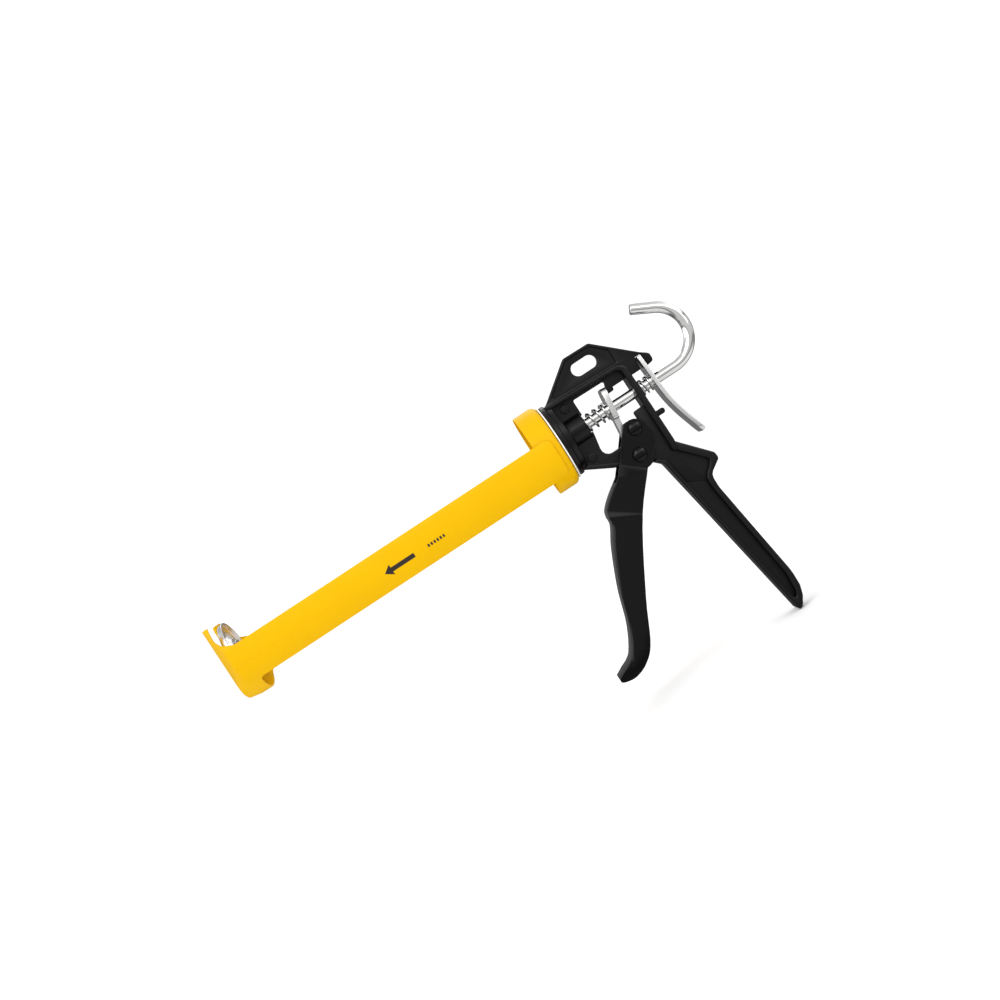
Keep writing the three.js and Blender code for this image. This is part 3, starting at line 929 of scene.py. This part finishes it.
@dataclass
class Mechanism:
    """The jam plate, the thumb lever and their springs."""

    drive_seat: float = 60.3
    drive_end: float = 84.1
    brake_seat: float = 107.5
    brake_end: float = 115.6
    jam_plate_edge: float = 0.55
    thumb_lever_edge: float = 0.45

    def squashed(
        self, shop: Workshop, piece: bpy.types.Object, anchor: float
    ) -> None:
        """Gives the spring a mesh of its own; the place of its seat is worked out but not used.

        Args:
            shop: the workshop.
            piece: the spring.
            anchor: its fixed end along the barrel.
        """
        place = shop.barrel.to_row() @ Vector((anchor, 0, 0))
        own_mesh(piece)

    def build(self, shop: Workshop, finishes: Finishes) -> None:
        """Makes the mechanism's pieces.

        Args:
            shop: the workshop.
            finishes: the finishes.
        """
        plate = shop.copy_of("drive_plate")
        round_edges(plate, corners_of(plate), self.jam_plate_edge, 4)
        shop.place(plate, "jam_plate_blank", Body.JAM_PLATE, finishes.zinc, Slot.ZINC, ("drive_plate",))
        lever = shop.copy_of("release_lever")
        round_edges(lever, corners_of(lever), self.thumb_lever_edge)
        shop.place(lever, "thumb_lever", Body.BRAKE, finishes.zinc, Slot.ZINC, ("release_lever",))
        drive = shop.place(
            CoilSpring(self.drive_seat, self.drive_end, outside=5.9, wire=1.5, open_turns=4.2).mesh(),
            "drive_coil", Body.HANDLE, finishes.spring, Slot.SPRING, ("drive_spring",),
        )
        self.squashed(shop, drive, self.drive_seat)
        brake = shop.place(
            CoilSpring(self.brake_seat, self.brake_end, outside=5.3, wire=1.2, open_turns=1.2).mesh(),
            "brake_coil", Body.HANDLE, finishes.spring, Slot.SPRING, ("release_spring",),
        )
        self.squashed(shop, brake, self.brake_seat)


# ------------------------------------------------------------------------------- trigger


@dataclass
class Trigger:
    """The stamped trigger, its two rivets and the drive roller.

    Heights on the trigger run along its own lean. Its front corner has one round between the first
    two breaks and a smaller one between the last two.
    """

    pivot: tuple[float, float] = (85.0, -32.8)
    pin: tuple[float, float] = (91.0, -18.0)
    head_radius: float = 4.55
    head_height: float = 2.7
    head_skirt: float = 0.3
    seat: float = 9.9
    front_round: float = 3.4
    edge: float = 0.5
    outside: float = 9.5
    upper_round: float = 2.0
    toe_round: float = 1.4
    toe_width: float = 5.0
    lean: float = math.radians(33)
    breaks: tuple[float, ...] = (-104.0, -20.5, -14.0, 4.0)
    roller_half: float = 7.4
    roller_radius: float = 4.3
    roller_bore: float = 2.9

    def side_edges(
        self, bm: bmesh.types.BMesh, up: Vector, low: float, high: float, front_only: bool
    ) -> list[bmesh.types.BMEdge]:
        """Lists the corners of the trigger's outer sides between two heights.

        Args:
            bm: the trigger.
            up: the direction of its heights.
            low: the least height.
            high: the greatest height.
            front_only: whether to keep only the corners with the wide front.

        Returns:
            The edges.
        """
        slack, sideways = 0.1, 0.8
        chosen = []
        for edge in bm.edges:
            if not edge.is_manifold or edge.calc_face_angle_signed(0) < math.radians(50):
                continue
            heights = [v.co.dot(up) for v in edge.verts]
            within = min(heights) > low - slack and max(heights) < high + slack
            outer = min(abs(v.co.y) for v in edge.verts) >= self.outside
            side = max(abs(f.normal.y) for f in edge.link_faces) >= sideways
            front = max(width_across(f) for f in edge.link_faces) > self.outside
            if within and outer and side and (front or not front_only):
                chosen.append(edge)
        return chosen

    def toe_edges(self, bm: bmesh.types.BMesh, up: Vector) -> list[bmesh.types.BMEdge]:
        """Lists the corners that run across the trigger's toe.

        Args:
            bm: the trigger.
            up: the direction of its heights.

        Returns:
            The edges.
        """
        return [
            e for e in corners_of(bm, 30)
            if max(v.co.dot(up) for v in e.verts) < self.breaks[0]
            and abs(e.verts[0].co.y - e.verts[1].co.y) > self.toe_width
        ]

    def lever(self, shop: Workshop) -> bmesh.types.BMesh:
        """Rounds the trigger's bent front corners and its cut edges.

        Args:
            shop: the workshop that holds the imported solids.

        Returns:
            The trigger.
        """
        bm = shop.copy_of("trigger")
        up = Vector((math.sin(self.lean), 0, math.cos(self.lean)))
        for height in self.breaks:
            bmesh.ops.bisect_plane(
                bm, geom=bm.verts[:] + bm.edges[:] + bm.faces[:], dist=0.2,
                plane_co=up * height, plane_no=up,
            )
        toe_top, front_top, upper_foot, upper_top = self.breaks
        round_edges(bm, self.side_edges(bm, up, toe_top, front_top, True), self.front_round, 6)
        round_edges(bm, self.side_edges(bm, up, upper_foot, upper_top, True), self.upper_round, 6)
        round_edges(bm, self.side_edges(bm, up, -math.inf, math.inf, False), self.edge, 6)
        round_edges(bm, self.toe_edges(bm, up), self.toe_round, 4)
        return bm

    def rivet(self, place: tuple[float, float], shank: float) -> bmesh.types.BMesh:
        """Spins a rivet with a dome at each end and turns it across the gun.

        Args:
            place: its (x, z) place.
            shank: its shank radius.

        Returns:
            The rivet.
        """
        rows = 9
        dome_foot, dome_height = self.seat + self.head_skirt, self.head_height - self.head_skirt
        half = [(self.seat, shank, 0.0), (self.seat, self.head_radius, 0.0)]
        for row in range(rows):
            lift = math.pi / 2 * row / rows
            half.append((dome_foot + dome_height * math.sin(lift), self.head_radius * math.cos(lift), 0.0))
        half.append((dome_foot + dome_height, 0.0, 0.0))
        profile = [(-along, radius, corner) for along, radius, corner in reversed(half)] + half
        return self.across(spun(profile, steps=56), place)

    def roller(self) -> bmesh.types.BMesh:
        """Spins the roller that turns on the drive rivet.

        Returns:
            The roller.
        """
        half, bore, radius = self.roller_half, self.roller_bore, self.roller_radius
        inside, outside = 0.2, 0.4
        sleeve = spun([
            (-half, bore, inside), (-half, radius, outside), (half, radius, outside), (half, bore, inside),
        ], steps=56)
        return self.across(sleeve, self.pin)

    def across(self, bm: bmesh.types.BMesh, place: tuple[float, float]) -> bmesh.types.BMesh:
        """Turns a spun shape across the gun.

        Args:
            bm: the shape.
            place: the (x, z) place that it goes to.

        Returns:
            The same shape.
        """
        return moved(bm, Matrix.Rotation(math.pi / 2, 3, "Z"), Vector((place[0], 0, place[1])))

    def build(self, shop: Workshop, finishes: Finishes) -> None:
        """Makes the trigger's pieces.

        Args:
            shop: the workshop.
            finishes: the finishes.
        """
        shop.place(
            self.lever(shop), "trigger_stamping", Body.TRIGGER, finishes.enamel, Slot.TRIGGER, ("trigger",)
        )
        shop.place(
            self.rivet(self.pivot, shank=3.0), "pivot_rivet_domed", Body.HANDLE, finishes.enamel,
            Slot.TRIGGER, ("trigger_pivot_rivet",),
        )
        shop.place(
            self.rivet(self.pin, shank=2.6), "drive_rivet_domed", Body.TRIGGER, finishes.enamel,
            Slot.TRIGGER, ("drive_rivet",),
        )
        shop.place(
            self.roller(), "roller_sleeve", Body.TRIGGER, finishes.zinc, Slot.ZINC, ("drive_roller",)
        )


# ------------------------------------------------------------------------------- studio


@dataclass
class Studio:
    """A pale floor, a dome that only gloss reflects, soft lights, and the camera.

    Panels and backdrop are (position, brightness) levels: panels from the dome's foot to its top,
    backdrop from its near side to its far side.
    """

    floor_radius: float = 9.0
    floor_drop: float = 0.0005
    dome_radius: float = 4.0
    panels: tuple[tuple[float, float], ...] = (
        (0.0, 0.8), (0.20, 0.9), (0.28, 0.3), (0.36, 0.22), (0.40, 0.62), (0.58, 0.66),
        (0.62, 0.22), (0.67, 2.4), (0.77, 2.4), (0.82, 0.9), (0.96, 0.6),
    )
    backdrop: tuple[tuple[float, float], ...] = ((0.0, 1.0), (0.62, 1.0), (0.82, 0.34), (1.0, 0.28))
    surround: float = 1.12
    roll: float = math.radians(33.3)
    distance: float = 0.781
    look_z: float = -9.7
    lens: float = 46.4
    sensor: float = 36.0

    def staged(self, bm: bmesh.types.BMesh, name: str, surface: Surface) -> bpy.types.Object:
        """Makes an object that isn't part of the gun.

        Args:
            bm: its shape, in metres; it is used up.
            name: its name.
            surface: its material.

        Returns:
            The object.
        """
        for face in bm.faces:
            face.smooth = True
        mesh = bpy.data.meshes.new(name)
        bm.to_mesh(mesh)
        bm.free()
        mesh.materials.append(surface.material)
        staged = bpy.data.objects.new(name, mesh)
        bpy.context.scene.collection.objects.link(staged)
        return staged

    def floor(self) -> None:
        """Lays the round pale floor."""
        bm = bmesh.new()
        bmesh.ops.create_circle(bm, cap_ends=True, segments=64, radius=self.floor_radius)
        bmesh.ops.translate(bm, verts=bm.verts, vec=(0, 0, -self.floor_drop))
        surface = Surface("pale_floor")
        surface.tint(surface.noise((400, 400, 400), 2), (0.90, 0.90, 0.90), (0.92, 0.92, 0.92))
        surface.set(Roughness=0.9, Specular_IOR_Level=0.0)
        floor = self.staged(bm, "studio_floor", surface)
        floor.visible_glossy = False

    def ramp(
        self, surface: Surface, place: bpy.types.NodeSocket, levels: tuple[tuple[float, float], ...]
    ) -> bpy.types.NodeSocket:
        """Turns a coordinate on the dome into a brightness.

        Args:
            surface: the dome's surface.
            place: the coordinate.
            levels: (position, brightness) pairs, from one side of the dome to the other.

        Returns:
            The brightness.
        """
        spread = surface.tree.nodes.new("ShaderNodeMapRange")
        spread.inputs["From Min"].default_value = -self.dome_radius
        spread.inputs["From Max"].default_value = self.dome_radius
        ramp = surface.tree.nodes.new("ShaderNodeValToRGB")
        stops = ramp.color_ramp.elements
        while len(stops) < len(levels):
            stops.new(0.5)
        for stop, (position, level) in zip(stops, levels):
            stop.position = position
            stop.color = (level, level, level, 1)
        surface.tree.links.new(place, spread.inputs["Value"])
        surface.tree.links.new(spread.outputs["Result"], ramp.inputs["Fac"])
        return ramp.outputs["Color"]

    def dome(self) -> None:
        """Hangs the dome that polished surfaces mirror: bright panels with dark gaps between."""
        bm = bmesh.new()
        bmesh.ops.create_uvsphere(bm, u_segments=48, v_segments=32, radius=self.dome_radius)
        surface = Surface("studio_panels")
        surface.set(Base_Color=(0.0, 0.0, 0.0), Specular_IOR_Level=0.0, Emission_Strength=1.0)
        place = surface.tree.nodes.new("ShaderNodeSeparateXYZ")
        surface.tree.links.new(surface.coordinates.outputs["Object"], place.inputs["Vector"])
        panels = self.ramp(surface, place.outputs["Z"], self.panels)
        backdrop = self.ramp(surface, place.outputs["Y"], self.backdrop)
        both = surface.tree.nodes.new("ShaderNodeMix")
        both.data_type, both.blend_type = "RGBA", "MULTIPLY"
        both.inputs["Factor"].default_value = 1.0
        colours = [socket for socket in both.inputs if socket.type == "RGBA"]
        surface.tree.links.new(panels, colours[0])
        surface.tree.links.new(backdrop, colours[1])
        mixed = next(socket for socket in both.outputs if socket.type == "RGBA")
        surface.tree.links.new(mixed, surface.shader.inputs["Emission Color"])
        dome = self.staged(bm, "studio_dome", surface)
        dome.visible_camera = dome.visible_diffuse = dome.visible_shadow = False
        dome.visible_transmission = dome.visible_volume_scatter = False

    def light(self, name: str, place: Vector, target: Vector, size: float, power: float) -> None:
        """Hangs one soft square light.

        Args:
            name: the light's name.
            place: where it hangs.
            target: what it points at.
            size: the length of its side.
            power: its power in watts.
        """
        lamp = bpy.data.lights.new(name, "AREA")
        lamp.shape, lamp.size, lamp.energy = "SQUARE", size, power
        light = bpy.data.objects.new(name, lamp)
        light.location = place
        light.rotation_mode = "QUATERNION"
        light.rotation_quaternion = (target - place).to_track_quat("-Z", "Y")
        light.visible_camera = False
        bpy.context.scene.collection.objects.link(light)

    def camera(self, barrel: Barrel) -> None:
        """Sets the camera: level with the barrel, and turned about its own line of sight.

        Args:
            barrel: the barrel frame.
        """
        camera = bpy.data.objects.new("camera", bpy.data.cameras.new("camera"))
        camera.data.lens, camera.data.sensor_width = self.lens, self.sensor
        right = Vector((math.cos(self.roll), 0, -math.sin(self.roll)))
        up = Vector((math.sin(self.roll), 0, math.cos(self.roll)))
        view = Matrix((right, up, right.cross(up))).transposed().to_4x4()
        view.translation = Vector((barrel.zero_x, -self.distance, barrel.axis_z + self.look_z * MM))
        camera.matrix_world = view
        bpy.context.scene.collection.objects.link(camera)
        bpy.context.scene.camera = camera

    def build(self, barrel: Barrel) -> None:
        """Sets up the whole studio.

        Args:
            barrel: the barrel frame.
        """
        self.floor()
        self.dome()
        self.camera(barrel)
        centre = Vector((0, 0, 0.11))
        self.light("key", Vector((-0.5, -1.0, 1.1)), centre, size=0.8, power=5)
        self.light("fill", Vector((1.1, -0.8, 0.5)), centre, size=0.7, power=1.6)
        self.light("back", Vector((0.3, 1.1, 1.2)), centre, size=0.9, power=4)
        world = bpy.data.worlds.new("studio")
        world.use_nodes = True
        background = world.node_tree.nodes["Background"]
        background.inputs["Color"].default_value = (1, 1, 1, 1)
        background.inputs["Strength"].default_value = self.surround
        bpy.context.scene.world = world
        bpy.context.scene.view_settings.view_transform = "Standard"


# ------------------------------------------------------------------------------- the whole gun


def main() -> None:
    """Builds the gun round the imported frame, and the studio round the gun."""
    logging.basicConfig(level=logging.INFO, format="%(name)s: %(message)s")
    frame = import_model()
    shop = Workshop(Barrel.from_washer(), frame["nodes"])
    finishes = Finishes.mixed()
    for assembly in (Cradle(), Handle(), PushRod(), Mechanism(), Trigger()):
        assembly.build(shop, finishes)
    Studio().build(shop.barrel)


if __name__ == "__main__":
    main()
